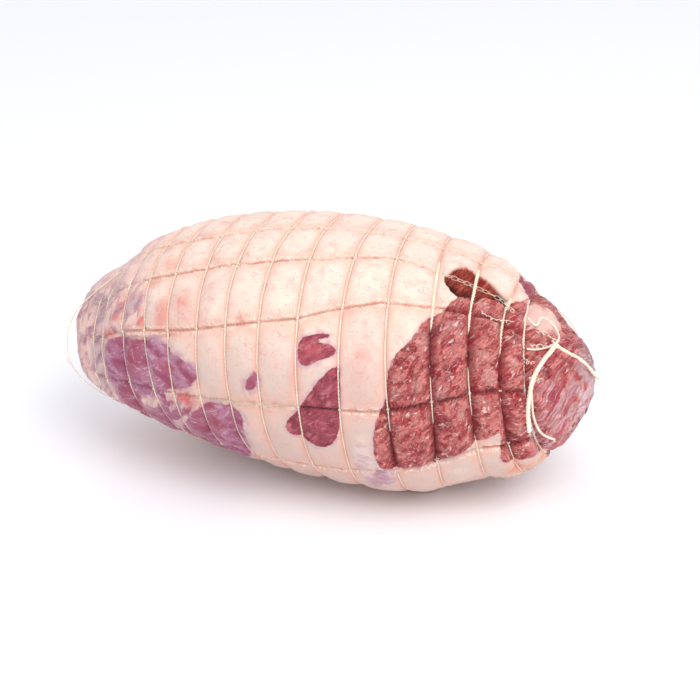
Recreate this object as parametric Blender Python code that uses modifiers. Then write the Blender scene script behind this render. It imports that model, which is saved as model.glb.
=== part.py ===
"""A boned and rolled leg of lamb, raw, held in a knitted butcher's net.

Units are metres, +Z is up. X runs along the roll, from the shank end at -X to the
broad cut end at +X, and the front is at -Y. The roll rests on z = 0, and the origin
is under the middle of its box. Angles round the roll start at the top and grow
towards the front.
"""

import bmesh
import bpy
import numpy as np
from mathutils import Matrix, Vector

# The roll: x, height of the top line, height of the bottom line, half width, how far
# the section sits to the back, and how much further back its bottom line lies. The
# sections are squarish ovals.
LEFT_END = -0.1215
RIGHT_END = 0.1190
SQUARENESS = 2.3
PROFILE = np.array([
    (LEFT_END, 0.0520, 0.0520, 0.0000, 0.005, 0.000),
    (-0.1160, 0.0745, 0.0335, 0.0250, 0.005, 0.000),
    (-0.1030, 0.0845, 0.0250, 0.0375, 0.004, 0.000),
    (-0.0840, 0.0995, 0.0185, 0.0480, 0.003, 0.003),
    (-0.0580, 0.1090, 0.0095, 0.0575, 0.002, 0.009),
    (-0.0240, 0.1152, 0.0015, 0.0635, 0.000, 0.014),
    (0.0140, 0.1150, -0.0020, 0.0670, 0.000, 0.010),
    (0.0480, 0.1092, -0.0010, 0.0650, 0.000, 0.004),
    (0.0770, 0.0985, 0.0090, 0.0550, 0.000, 0.000),
    (0.0950, 0.0840, 0.0120, 0.0440, 0.000, 0.000),
    (0.1070, 0.0708, 0.0240, 0.0320, 0.000, 0.000),
    (0.1155, 0.0625, 0.0390, 0.0185, 0.000, 0.000),
    (RIGHT_END, 0.0530, 0.0530, 0.0000, 0.000, 0.000),
])
HALF_LENGTH = (RIGHT_END - LEFT_END) / 2
MIDDLE = (RIGHT_END + LEFT_END) / 2

# The net's hoops: x of the middle, lean from the top to the underside, and swing
# from the back to the front.
HOOPS = (
    (-0.1000, -0.0015, -0.0038),
    (-0.0925, -0.0030, -0.0050),
    (-0.0775, -0.0060, -0.0060),
    (-0.0650, -0.0090, -0.0050),
    (-0.0560, -0.0060, -0.0025),
    (-0.0415, -0.0055, -0.0025),
    (-0.0245, -0.0070, -0.0050),
    (-0.0100, -0.0060, -0.0045),
    (0.0045, -0.0055, -0.0015),
    (0.0220, -0.0045, -0.0005),
    (0.0400, -0.0060, 0.0025),
    (0.0560, -0.0045, 0.0050),
    (0.0745, -0.0060, 0.0025),
    (0.0910, -0.0070, -0.0010),
    (0.0985, -0.0070, 0.0020),
)

# The net's strands: degrees round the roll at each station along it, and how many
# columns of faces the meat has from each strand to the next.
STRAND_STATIONS = (-0.1, -0.05, 0.0, 0.035, 0.07, 0.1)
STRANDS = (
    ((14, 12, 2, -3, -5, -8), 4),
    ((42, 35, 26, 16, 18, 16), 4),
    ((71, 64, 53, 40, 35, 28), 4),
    ((106, 97, 90, 86, 77, 62), 4),
    ((138, 131, 124, 118, 111, 100), 3),
    ((166, 160, 153, 149, 145, 138), 3),
    ((194, 188, 182, 179, 175, 171), 3),
    ((223, 217, 211, 208, 205, 201), 3),
    ((251, 245, 240, 237, 234, 230), 3),
    ((279, 274, 270, 266, 263, 259), 3),
    ((309, 304, 299, 296, 293, 289), 3),
    ((341, 336, 330, 325, 322, 319), 3),
)

# Heights above the roll's smooth surface. The net presses a groove into the meat,
# which swells between the threads, more so in the cut lean, less so towards the lean's
# underside. Where its weight rests, the smooth surface is flat at the rest line, and
# the meat swells past it down to z = 0.
GROOVE = -0.0012
FULL_CELL = 0.015
END_ROOM = 0.8
PILLOW = 0.0004
LEAN_PILLOW = 0.0012
LEAN_FROM = (0.040, 0.060)
LEAN_UNDERSIDE = 120.0
REST_LINE = 0.0014
REST_SWELL = 0.0020
REST_REACH = 0.0050
THREAD_UNDERSIDE = -0.0006

HOOP_WIDTH = 0.0012
STRAND_WIDTH = 0.0010
THREAD_THICKNESS = 0.0011
TAIL_RADIUS = 0.00065
FINE_RADIUS = 0.00045

# The opening beside the fat flap at the top of the broad end.
POCKET_MIDDLE = (0.070, 18.0)
POCKET_HALF = (0.019, 12.5)
POCKET_DEPTH = 0.013
POCKET_WALL = 0.55

# Rounded masses that stand out of the roll or lie lower: x, degrees, half length,
# half width in degrees, height.
LUMPS = (
    (0.079, -6.0, 0.012, 17.0, 0.0022),
    (0.089, -24.0, 0.007, 13.0, 0.0022),
    (0.064, 42.0, 0.020, 14.0, 0.0012),
    (0.100, 62.0, 0.013, 24.0, 0.0016),
    (0.098, 122.0, 0.012, 18.0, 0.0018),
    (-0.080, 90.0, 0.018, 20.0, 0.0012),
    (-0.040, 112.0, 0.018, 14.0, 0.0014),
    (0.012, 84.0, 0.012, 17.0, -0.0008),
)

# Rows of the meat between the last hoop and each end, as shares of that distance.
LEFT_END_ROWS = (0.07, 0.22, 0.45, 0.72)
RIGHT_END_ROWS = (0.30, 0.56, 0.78, 0.93)
ROWS_PER_CELL = 3

# Loose threads: points as x, degrees and height above the smooth surface.
KNOT = (0.1030, 23.0, 0.0026)
KNOT_SIZE = (0.0024, 0.0018, 0.0018)
KNOT_SIDES = 10
KNOT_RINGS = 6
SHORT_TAIL = ((0.1030, 23, 0.0026), (0.1076, 20, 0.0026), (0.1118, 19, 0.0030), (0.1158, 20, 0.0032),
              (0.1178, 24, 0.0038), (0.1186, 30, 0.0052))
LONG_TAIL = ((0.1030, 23, 0.0026), (0.1020, 31, 0.0028), (0.0998, 42, 0.0026), (0.0972, 55, 0.0016),
             (0.0962, 66, 0.0012), (0.0962, 77, 0.0014), (0.0972, 91, 0.0020))
INNER_TAIL = ((0.0968, 55, 0.0006), (0.0980, 69, 0.0009), (0.0990, 80, 0.0008), (0.1018, 94, 0.0008),
              (0.1048, 104, 0.0012), (0.1070, 111, 0.0022))
RING_STRAND = ((0.0922, 16, 0.0003), (0.0954, 18, 0.0012), (0.0960, 9, 0.0018), (0.0986, 4, 0.0020),
               (0.1020, 4, 0.0022), (0.1040, 11, 0.0022), (0.1030, 23, 0.0026))
SIDE_STRAND = ((0.0942, 38, 0.0003), (0.0970, 36, 0.0012), (0.1000, 31, 0.0020), (0.1030, 23, 0.0026))
LOOSE_LOOP = ((-0.0970, 18, 0.0000), (-0.1010, 23, 0.0010), (-0.1063, 28, 0.0013), (-0.1114, 37, 0.0015),
              (-0.1155, 46, 0.0022), (-0.1173, 58, 0.0038), (-0.1175, 74, 0.0051), (-0.1170, 91, 0.0056),
              (-0.1162, 106, 0.0055), (-0.1148, 117, 0.0048), (-0.1112, 127, 0.0030),
              (-0.1046, 132, 0.0015), (-0.0943, 131, 0.0000))
THREAD_STEPS = 3
THREAD_ROUNDNESS = 1

SLOPE_STEP = 1e-4
CROSSING_ROUNDS = 4
WELD_DISTANCE = 1e-6

FAT_COLOUR = (0.82, 0.62, 0.53, 1.0)
THREAD_COLOUR = (0.86, 0.75, 0.58, 1.0)


def latitude(x):
    return np.arcsin(np.clip((x - MIDDLE) / HALF_LENGTH, -1.0, 1.0))


def smooth_line(knots, values, at):
    """A smooth curve through the knots, which need not be evenly spaced."""
    step = np.diff(knots)
    slope = np.diff(values) / step
    tangent = np.empty(len(knots))
    tangent[1:-1] = (slope[:-1] * step[1:] + slope[1:] * step[:-1]) / (step[1:] + step[:-1])
    tangent[0], tangent[-1] = slope[0], slope[-1]
    i = np.clip(np.searchsorted(knots, at) - 1, 0, len(step) - 1)
    t = (at - knots[i]) / step[i]
    return (
        values[i] * (1 + 2 * t) * (1 - t) ** 2
        + tangent[i] * step[i] * t * (1 - t) ** 2
        + values[i + 1] * t * t * (3 - 2 * t)
        + tangent[i + 1] * step[i] * t * t * (t - 1)
    )


def ramp(low, high, value):
    t = np.clip((value - low) / (high - low), 0.0, 1.0)
    return t * t * (3 - 2 * t)


def smooth_surface(lat, angle):
    """A point of the roll's smooth surface, from its latitude and the angle in radians."""
    knots = latitude(PROFILE[:, 0])
    top, bottom, half_width, drift, undercut = (
        smooth_line(knots, PROFILE[:, k], lat) for k in range(1, 6)
    )
    s, c = np.sin(angle), np.cos(angle)
    reach = (np.abs(s) ** SQUARENESS + np.abs(c) ** SQUARENESS) ** (-1 / SQUARENESS)
    y = drift - half_width * reach * s + undercut * np.maximum(-reach * c, 0.0) ** 2
    z = np.maximum((top + bottom) / 2 + (top - bottom) / 2 * reach * c, REST_LINE)
    return np.array([MIDDLE + HALF_LENGTH * np.sin(lat), y, z])


def outward(x, angle):
    """The smooth surface's outward normal."""
    d = SLOPE_STEP
    lat = float(np.clip(latitude(x), -np.pi / 2 + 2 * d, np.pi / 2 - 2 * d))
    along = smooth_surface(lat + d, angle) - smooth_surface(lat - d, angle)
    around = smooth_surface(lat, angle + d) - smooth_surface(lat, angle - d)
    normal = np.cross(around, along)
    return normal / np.linalg.norm(normal)


def place(x, angle, height):
    """A point at a height above the smooth surface."""
    return smooth_surface(latitude(x), angle) + height * outward(x, angle)


def hoop_x(number, angle):
    """Where a hoop crosses an angle. Number 0 is the left pole and the last is the right."""
    if number == 0:
        return LEFT_END
    if number > len(HOOPS):
        return RIGHT_END
    middle, lean, swing = HOOPS[number - 1]
    return middle + lean * np.cos(angle) + swing * np.sin(angle)


def row_x(cell, share, angle):
    """A line that lies a share of the way from one hoop to the next."""
    return (1 - share) * hoop_x(cell, angle) + share * hoop_x(cell + 1, angle)


def strand_angle(number, x):
    turns, strand = divmod(number, len(STRANDS))
    return np.radians(np.interp(x, STRAND_STATIONS, STRANDS[strand][0])) + 2 * np.pi * turns


def angle_on_row(cell, share, strand, part):
    """The angle at which a row meets a line part of the way from a strand to the next."""
    angle = strand_angle(strand, 0.0)
    for _ in range(CROSSING_ROUNDS):
        x = row_x(cell, share, angle)
        angle = (1 - part) * strand_angle(strand, x) + part * strand_angle(strand + 1, x)
    return angle


def bump(x, angle, middle, half):
    """1 in the middle of an oval patch and 0 from its edge on."""
    turn = (np.degrees(angle) - middle[1] + 180) % 360 - 180
    distance = np.hypot((x - middle[0]) / half[0], turn / half[1])
    return 1 - ramp(0.0, 1.0, distance)


def swelling(cell, share, part, x, angle):
    """Height of the meat's surface over the smooth one, from its place in its net cell."""
    if 0 < cell < len(HOOPS):
        fullness = min(1.0, (hoop_x(cell + 1, angle) - hoop_x(cell, angle)) / FULL_CELL)
        room = np.sin(np.pi * share) * np.sin(np.pi * part) * fullness
    else:
        beyond = share if cell else 1 - share
        room = END_ROOM * np.sin(np.pi * beyond / 2) * (beyond + (1 - beyond) * np.sin(np.pi * part))
    from_underside = abs(np.degrees(angle) % 360 - 180)
    lean = ramp(*LEAN_FROM, x) * ramp(0.0, LEAN_UNDERSIDE, from_underside)
    crest = PILLOW + (LEAN_PILLOW - PILLOW) * lean
    crest += sum(h * bump(x, angle, (cx, deg), (hx, hdeg)) for cx, deg, hx, hdeg, h in LUMPS)
    crest += REST_SWELL * ramp(REST_REACH, REST_REACH / 2, place(x, angle, 0.0)[2])
    pocket = POCKET_DEPTH * ramp(0.0, POCKET_WALL, bump(x, angle, POCKET_MIDDLE, POCKET_HALF))
    return GROOVE + (crest - GROOVE) * room - pocket


def material(name, colour, roughness):
    result = bpy.data.materials.new(name)
    result.use_nodes = True
    shader = result.node_tree.nodes["Principled BSDF"]
    shader.inputs["Base Color"].default_value = colour
    shader.inputs["Roughness"].default_value = roughness
    result.diffuse_color = colour
    return result


def add_object(name, data, collection):
    result = bpy.data.objects.new(name, data)
    collection.objects.link(result)
    return result


def meat_point(cell, share, strand, part):
    """A point of the meat. Under a strand it is pressed straight from hoop to hoop."""
    angle = angle_on_row(cell, share, strand, part)
    x = row_x(cell, share, angle)
    point = place(x, angle, swelling(cell, share, part, x, angle))
    if part == 0.0 and share > 0.0 and 0 < cell < len(HOOPS):
        ends = [meat_point(hoop, 0.0, strand, part) for hoop in (cell, cell + 1)]
        straight = (1 - share) * ends[0] + share * ends[1]
        point += outward(x, angle) * min(0.0, (straight - point) @ outward(x, angle))
    point[2] = max(point[2], 0.0)
    return point


def make_meat(collection):
    """The boned leg, rolled up, as rings of faces that follow the net's hoops and strands."""
    rows = [(0, share) for share in LEFT_END_ROWS]
    for cell in range(1, len(HOOPS)):
        rows += [(cell, step / ROWS_PER_CELL) for step in range(ROWS_PER_CELL)]
    rows += [(len(HOOPS), share) for share in (0.0, *RIGHT_END_ROWS)]
    columns = [(k, step / count) for k, (_, count) in enumerate(STRANDS) for step in range(count)]

    mesh = bmesh.new()
    rings = []
    for cell, share in rows:
        rings.append([mesh.verts.new(meat_point(cell, share, *column)) for column in columns])
    for one, two in zip(rings, rings[1:]):
        for a in range(len(columns)):
            b = (a + 1) % len(columns)
            mesh.faces.new((one[a], one[b], two[b], two[a]))
    for ring, x, turn in ((rings[0], LEFT_END, -1), (rings[-1], RIGHT_END, 1)):
        pole = mesh.verts.new(smooth_surface(latitude(x), 0.0))
        for a in range(len(columns)):
            corners = (pole, ring[a], ring[(a + 1) % len(columns)])
            mesh.faces.new(corners[::turn])
    bmesh.ops.triangulate(mesh, faces=mesh.faces[:])

    data = bpy.data.meshes.new("meat")
    mesh.to_mesh(data)
    mesh.free()
    data.materials.append(material("fat_and_lean", FAT_COLOUR, 0.45))
    data.shade_smooth()
    return add_object("meat", data, collection)


def make_bands(collection):
    """The knitted lattice: flat bands along every hoop and strand, given their thickness."""
    mesh = bmesh.new()

    def corner(hoop, side, strand, part, edge):
        angle = angle_on_row(hoop, 0.0, strand, part)
        x = hoop_x(hoop, angle) + side * HOOP_WIDTH / 2
        across = smooth_surface(latitude(x), angle) - smooth_surface(latitude(x), angle + np.pi)
        angle += edge * STRAND_WIDTH / np.linalg.norm(across)
        return mesh.verts.new(place(x, angle, THREAD_UNDERSIDE))

    lines = []
    for strand, (_, columns) in enumerate(STRANDS):
        lines += [(strand, 0.0, -1), (strand, 0.0, 1)]
        lines += [(strand, step / columns, 0) for step in range(1, columns)]
    hoops = []
    for hoop in range(1, len(HOOPS) + 1):
        hoops.append([[corner(hoop, side, *line) for line in lines] for side in (-1, 1)])
    for left, right in hoops:
        for a in range(len(lines)):
            b = (a + 1) % len(lines)
            mesh.faces.new((left[a], left[b], right[b], right[a]))
    starts = [i for i, (_, part, edge) in enumerate(lines) if edge == -1]
    for (_, right), (left, _) in zip(hoops, hoops[1:]):
        for a in starts:
            mesh.faces.new((right[a], right[a + 1], left[a + 1], left[a]))

    data = bpy.data.meshes.new("lattice")
    mesh.to_mesh(data)
    mesh.free()
    lattice = add_object("lattice", data, collection)
    thick = lattice.modifiers.new("thread", "SOLIDIFY")
    thick.thickness = THREAD_THICKNESS
    thick.offset = 1.0
    thick.use_even_offset = True
    return as_mesh(lattice, collection)


def thread(name, points, radius, collection):
    """A loose end or loop of thread, as a round tube along a smooth line."""
    route = np.array([place(x, np.radians(deg), height) for x, deg, height in points])
    knots = np.arange(len(route), dtype=float)
    fine = np.linspace(0, knots[-1], (len(route) - 1) * THREAD_STEPS + 1)
    smooth = np.stack([smooth_line(knots, route[:, k], fine) for k in range(3)], axis=-1)
    curve = bpy.data.curves.new(name, "CURVE")
    curve.dimensions = "3D"
    curve.bevel_depth = radius
    curve.bevel_resolution = THREAD_ROUNDNESS
    curve.use_fill_caps = True
    spline = curve.splines.new("POLY")
    spline.points.add(len(smooth) - 1)
    for point, co in zip(spline.points, smooth):
        point.co = (*co, 1.0)
    return as_mesh(add_object(name, curve, collection), collection)


def as_mesh(source, collection):
    """Replace an object by the welded mesh that it evaluates to."""
    evaluated = source.evaluated_get(bpy.context.evaluated_depsgraph_get())
    data = bpy.data.meshes.new_from_object(evaluated)
    welded = bmesh.new()
    welded.from_mesh(data)
    bmesh.ops.remove_doubles(welded, verts=welded.verts[:], dist=WELD_DISTANCE)
    bmesh.ops.recalc_face_normals(welded, faces=welded.faces[:])
    welded.to_mesh(data)
    welded.free()
    name = source.name
    bpy.data.objects.remove(source)
    return add_object(name, data, collection)


def make_knot(collection):
    x, degrees, height = KNOT
    spot = Matrix.Translation(Vector(place(x, np.radians(degrees), height)))
    ball = bmesh.new()
    bmesh.ops.create_uvsphere(
        ball, u_segments=KNOT_SIDES, v_segments=KNOT_RINGS, radius=1.0,
        matrix=spot @ Matrix.Diagonal((*KNOT_SIZE, 1.0)),
    )
    data = bpy.data.meshes.new("knot")
    ball.to_mesh(data)
    ball.free()
    return add_object("knot", data, collection)


def make_net(collection, loose):
    """The whole net in one piece: the lattice with its knot, loops and loose ends."""
    net = make_bands(collection)
    net.name = "net"
    make_knot(loose)
    thread("short_tail", SHORT_TAIL, TAIL_RADIUS, loose)
    thread("long_tail", LONG_TAIL, TAIL_RADIUS, loose)
    thread("inner_tail", INNER_TAIL, FINE_RADIUS, loose)
    thread("ring_strand", RING_STRAND, FINE_RADIUS, loose)
    thread("side_strand", SIDE_STRAND, FINE_RADIUS, loose)
    thread("loose_loop", LOOSE_LOOP, FINE_RADIUS, loose)
    union = net.modifiers.new("loose threads", "BOOLEAN")
    union.operation = "UNION"
    union.operand_type = "COLLECTION"
    union.collection = loose
    union.solver = "EXACT"
    bpy.context.view_layer.update()
    data = bpy.data.meshes.new_from_object(net.evaluated_get(bpy.context.evaluated_depsgraph_get()))
    net.modifiers.clear()
    net.data = data
    for item in list(loose.objects):
        bpy.data.objects.remove(item)
    net.data.materials.clear()
    net.data.materials.append(material("cotton_thread", THREAD_COLOUR, 0.8))
    return net


def main():
    for item in list(bpy.data.objects):
        bpy.data.objects.remove(item)
    roast = bpy.data.collections.new("rolled_leg_of_lamb")
    loose = bpy.data.collections.new("loose_threads")
    bpy.context.scene.collection.children.link(roast)
    bpy.context.scene.collection.children.link(loose)
    make_meat(roast)
    make_net(roast, loose)
    bpy.data.collections.remove(loose)


main()
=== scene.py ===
"""Looks for a raw, boned and rolled leg of lamb in a knitted butcher's net.

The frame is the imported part: metres, +Z up, X along the roll with the broad cut end at
+X, and the front at -Y. Angles round the roll start at the top and grow towards the front.
"""

import bpy
import numpy as np
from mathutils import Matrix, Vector, noise


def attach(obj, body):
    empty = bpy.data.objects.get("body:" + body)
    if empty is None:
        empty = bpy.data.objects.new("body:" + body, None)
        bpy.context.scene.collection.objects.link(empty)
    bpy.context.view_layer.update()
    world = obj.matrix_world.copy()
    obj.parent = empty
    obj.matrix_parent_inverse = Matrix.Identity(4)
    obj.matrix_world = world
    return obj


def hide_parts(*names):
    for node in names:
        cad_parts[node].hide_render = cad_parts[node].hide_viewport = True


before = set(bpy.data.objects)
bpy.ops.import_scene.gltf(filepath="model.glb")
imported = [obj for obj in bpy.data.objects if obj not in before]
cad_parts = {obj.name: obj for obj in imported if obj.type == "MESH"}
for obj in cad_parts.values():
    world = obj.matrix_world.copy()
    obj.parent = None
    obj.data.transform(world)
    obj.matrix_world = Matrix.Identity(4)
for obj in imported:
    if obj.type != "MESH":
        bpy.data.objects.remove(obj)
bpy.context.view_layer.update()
rng = np.random.default_rng(7)


# The meat: one boned leg of lamb, rolled up raw with its fat outside. Creamy fat covers
# the top and back, with red windows of muscle; dark muscle shows at the shank end and cut
# lean at the broad end. The net alone holds it rolled.

# The roll's sections: x, top, bottom, half width, drift to the back, undercut.
LEFT_END, RIGHT_END, SQUARENESS, REST_LINE = -0.1215, 0.1190, 2.3, 0.0014
PROFILE = np.array([
    (LEFT_END, 0.0520, 0.0520, 0.0000, 0.005, 0.000),
    (-0.1160, 0.0745, 0.0335, 0.0250, 0.005, 0.000),
    (-0.1030, 0.0845, 0.0250, 0.0375, 0.004, 0.000),
    (-0.0840, 0.0995, 0.0185, 0.0480, 0.003, 0.003),
    (-0.0580, 0.1090, 0.0095, 0.0575, 0.002, 0.009),
    (-0.0240, 0.1152, 0.0015, 0.0635, 0.000, 0.014),
    (0.0140, 0.1150, -0.0020, 0.0670, 0.000, 0.010),
    (0.0480, 0.1092, -0.0010, 0.0650, 0.000, 0.004),
    (0.0770, 0.0985, 0.0090, 0.0550, 0.000, 0.000),
    (0.0950, 0.0840, 0.0120, 0.0440, 0.000, 0.000),
    (0.1070, 0.0708, 0.0240, 0.0320, 0.000, 0.000),
    (0.1155, 0.0625, 0.0390, 0.0185, 0.000, 0.000),
    (RIGHT_END, 0.0530, 0.0530, 0.0000, 0.000, 0.000),
])
HALF_LENGTH, MIDDLE = (RIGHT_END - LEFT_END) / 2, (RIGHT_END + LEFT_END) / 2

# The net's hoops, in mm: x of the middle, lean from top to underside, swing from back to
# front. The first and last entries are the two ends of the roll.
HOOPS = np.array([
    (LEFT_END * 1000, 0, 0),
    (-100, -1.5, -3.8), (-92.5, -3, -5), (-77.5, -6, -6), (-65, -9, -5), (-56, -6, -2.5),
    (-41.5, -5.5, -2.5), (-24.5, -7, -5), (-10, -6, -4.5), (4.5, -5.5, -1.5), (22, -4.5, -0.5),
    (40, -6, 2.5), (56, -4.5, 5), (74.5, -6, 2.5), (91, -7, -1), (98.5, -7, 2),
    (RIGHT_END * 1000, 0, 0),
]) / 1000
# The net's strands: degrees round the roll at each station.
STATIONS = np.array([-0.1, -0.05, 0.0, 0.035, 0.07, 0.1])
STRANDS = np.array([
    (14, 12, 2, -3, -5, -8), (42, 35, 26, 16, 18, 16), (71, 64, 53, 40, 35, 28),
    (106, 97, 90, 86, 77, 62), (138, 131, 124, 118, 111, 100), (166, 160, 153, 149, 145, 138),
    (194, 188, 182, 179, 175, 171), (223, 217, 211, 208, 205, 201), (251, 245, 240, 237, 234, 230),
    (279, 274, 270, 266, 263, 259), (309, 304, 299, 296, 293, 289), (341, 336, 330, 325, 322, 319),
], float)
# The strands that cross the open fold and the large window, and the hoops that cross the lean.
FOLD_STRAND, WINDOW_STRAND = 1, 3
FIRST_LEAN_HOOP, LAST_HOOP = 12, len(HOOPS) - 2

# Rows of vertices from each hoop to the next, and columns from each strand to the next.
CELL_ROWS = (28, 10, 19, 16, 12, 18, 21, 18, 18, 22, 24, 22, 25, 22, 12, 34)
CELL_COLUMNS = (30, 34, 44, 40, 32, 16, 12, 12, 12, 12, 20, 36)
CROWDING = 0.5
CROSSING_ROUNDS = 8
NORMAL_STEP = 1e-4


def latitude(x):
    return np.arcsin(np.clip((x - MIDDLE) / HALF_LENGTH, -1.0, 1.0))


def smooth_line(knots, values, at):
    """A smooth curve through unevenly spaced knots."""
    step = np.diff(knots)
    slope = np.diff(values) / step
    tangent = np.empty(len(knots))
    tangent[1:-1] = (slope[:-1] * step[1:] + slope[1:] * step[:-1]) / (step[1:] + step[:-1])
    tangent[0], tangent[-1] = slope[0], slope[-1]
    i = np.clip(np.searchsorted(knots, at) - 1, 0, len(step) - 1)
    t = (at - knots[i]) / step[i]
    return (
        values[i] * (1 + 2 * t) * (1 - t) ** 2
        + tangent[i] * step[i] * t * (1 - t) ** 2
        + values[i + 1] * t * t * (3 - 2 * t)
        + tangent[i + 1] * step[i] * t * t * (t - 1)
    )


def ramp(low, high, value):
    t = np.clip((value - low) / (high - low), 0.0, 1.0)
    return t * t * (3 - 2 * t)


def smooth_surface(lat, angle):
    """Points of the roll's smooth surface, from latitudes and angles in radians."""
    knots = latitude(PROFILE[:, 0])
    top, bottom, half_width, drift, undercut = (
        smooth_line(knots, PROFILE[:, k], lat) for k in range(1, 6)
    )
    s, c = np.sin(angle), np.cos(angle)
    reach = (np.abs(s) ** SQUARENESS + np.abs(c) ** SQUARENESS) ** (-1 / SQUARENESS)
    y = drift - half_width * reach * s + undercut * np.maximum(-reach * c, 0.0) ** 2
    z = np.maximum((top + bottom) / 2 + (top - bottom) / 2 * reach * c, REST_LINE)
    return np.stack([MIDDLE + HALF_LENGTH * np.sin(lat) + 0 * y, y, z], axis=-1)


def outward(x, angle):
    """Unit normals of the smooth surface."""
    step = NORMAL_STEP
    lat = np.clip(latitude(x), -np.pi / 2 + 2 * step, np.pi / 2 - 2 * step)
    along = smooth_surface(lat + step, angle) - smooth_surface(lat - step, angle)
    around = smooth_surface(lat, angle + step) - smooth_surface(lat, angle - step)
    normal = np.cross(around, along)
    return normal / np.linalg.norm(normal, axis=-1, keepdims=True)


def place(x, angle, height):
    """Points at a height in metres above the smooth surface."""
    return smooth_surface(latitude(x), angle) + np.asarray(height)[..., None] * outward(x, angle)


def hoop_x(number, angle):
    middle, lean, swing = np.moveaxis(HOOPS[number], -1, 0)
    return middle + lean * np.cos(angle) + swing * np.sin(angle)


def strand_angle(number, x):
    turns, strand = np.divmod(number, len(STRANDS))
    x = np.clip(x, STATIONS[0], STATIONS[-1])
    i = np.clip(np.searchsorted(STATIONS, x) - 1, 0, len(STATIONS) - 2)
    t = (x - STATIONS[i]) / (STATIONS[i + 1] - STATIONS[i])
    return np.radians((1 - t) * STRANDS[strand, i] + t * STRANDS[strand, i + 1] + 360 * turns)


def share_rows(cell, count):
    """How far each row is from its hoop to the next, closer together beside the thread."""
    t = np.arange(count) / count
    if 0 < cell < LAST_HOOP:
        return t - CROWDING * np.sin(2 * np.pi * t) / (2 * np.pi)
    hoop = abs(latitude(HOOPS[cell or 1][0]))
    t = t if cell else 1 - t
    share = (np.sin(hoop + t * (np.pi / 2 - hoop)) - np.sin(hoop)) / (1 - np.sin(hoop))
    return share if cell else 1 - share


cells = np.concatenate([np.full(n, c) for c, n in enumerate(CELL_ROWS)])[1:, None]
shares = np.concatenate([share_rows(c, n) for c, n in enumerate(CELL_ROWS)])[1:, None]
columns = np.concatenate([np.full(n, k) for k, n in enumerate(CELL_COLUMNS)])[None, :]
parts = np.concatenate([
    np.arange(n) / n - CROWDING * np.sin(2 * np.pi * np.arange(n) / n) / (2 * np.pi)
    for n in CELL_COLUMNS
])[None, :]
angle = strand_angle(columns, 0.0) + 0 * shares
for _ in range(CROSSING_ROUNDS):
    x = (1 - shares) * hoop_x(cells, angle) + shares * hoop_x(cells + 1, angle)
    angle = (1 - parts) * strand_angle(columns, x) + parts * strand_angle(columns + 1, x)
base = smooth_surface(latitude(x), angle)
normal = outward(x, angle)
degrees = np.degrees(angle) % 360
mm = x * 1000

# Distances in mm along the surface from every vertex to the nearest hoop and strand.
walk = np.cumsum(np.linalg.norm(np.diff(base, axis=0, prepend=base[:1]), axis=-1), axis=0) * 1000
hoop_rows = np.cumsum(CELL_ROWS)[:-1] - 1
hoop_walk = walk[hoop_rows]
hoop_gap = np.abs(walk[:, None, :] - hoop_walk[None])
hoop_gap = hoop_gap.min(axis=1)
ring = np.concatenate([base, base[:, :1]], axis=1)
round_walk = np.cumsum(np.linalg.norm(np.diff(ring, axis=1), axis=-1), axis=1) * 1000
girth = round_walk[:, -1:]
round_walk = np.concatenate([0 * girth, round_walk[:, :-1]], axis=1)
strand_columns = np.cumsum((0,) + CELL_COLUMNS[:-1])
strand_gap = np.abs(round_walk[:, :, None] - round_walk[:, None, strand_columns])
strand_gap = np.minimum(strand_gap, girth[..., None] - strand_gap)
strand_gap = strand_gap.min(axis=2)
mm_per_degree = girth / 360 + 0 * strand_gap


def rounded(outline):
    """A closed outline with its corners cut off twice."""
    points = np.array(outline, float)
    for _ in range(2):
        after = np.roll(points, -1, axis=0)
        cut = [0.78 * points + 0.22 * after, 0.22 * points + 0.78 * after]
        points = np.stack(cut, axis=1).reshape(-1, 2)
    return points.tolist()


def from_segment(one, two, turned):
    """Millimetres from a segment between two (x in mm, degrees) points."""
    along, across = two[0] - one[0], (two[1] - one[1]) * mm_per_degree
    px, pa = mm - one[0], (turned - one[1]) * mm_per_degree
    t = np.clip((px * along + pa * across) / (along**2 + across**2 + 1e-9), 0, 1)
    return np.hypot(px - t * along, pa - t * across)


def inside(outline, closing=()):
    """Millimetres inside an outline of (x in mm, degrees) points, negative outside it.

    The closing points only close an outline that runs right round the roll.
    """
    if not closing:
        outline = rounded(outline)
    points = np.array(list(outline) + list(closing), float)
    start = points[:, 1].min() if closing else points[:, 1].mean() - 180
    turned = (degrees - start) % 360 + start
    within = np.zeros(mm.shape, bool)
    for (x1, a1), (x2, a2) in zip(points, np.roll(points, -1, axis=0)):
        if a1 != a2:
            crosses = (a1 > turned) != (a2 > turned)
            within ^= crosses & (mm < (x2 - x1) * (turned - a1) / (a2 - a1) + x1)
    real = np.array(outline, float)
    ends = real[1:] if closing else np.roll(real, -1, axis=0)
    nearest = np.full(mm.shape, np.inf)
    for one, two in zip(real, ends):
        for lap in (-360, 0, 360) if closing else (0,):
            nearest = np.minimum(nearest, from_segment(one, two, turned + lap))
    return np.where(within, nearest, -nearest)


def from_line(line):
    """Millimetres from a line of (x in mm, degrees) points."""
    nearest = np.full(mm.shape, np.inf)
    turned = (degrees - line[0][1] + 180) % 360 + line[0][1] - 180
    for one, two in zip(line, line[1:]):
        nearest = np.minimum(nearest, from_segment(one, two, turned))
    return nearest


def patch(middle_x, middle_degrees, half_x, half_degrees):
    """1 in the middle of an oval patch (mm, degrees) and 0 from its edge on."""
    turn = (degrees - middle_degrees + 180) % 360 - 180
    return 1 - ramp(0.0, 1.0, np.hypot((mm - middle_x) / half_x, turn / half_degrees))


# The surface laid flat, in mm: along the roll, and up the front from its widest line. It
# is cut open low on the back.
SEAM = 215
from_widest = 90 - ((degrees - SEAM) % 360 + SEAM - 360)
flat = np.stack([mm, from_widest * mm_per_degree, 0 * mm], axis=-1)


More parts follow.
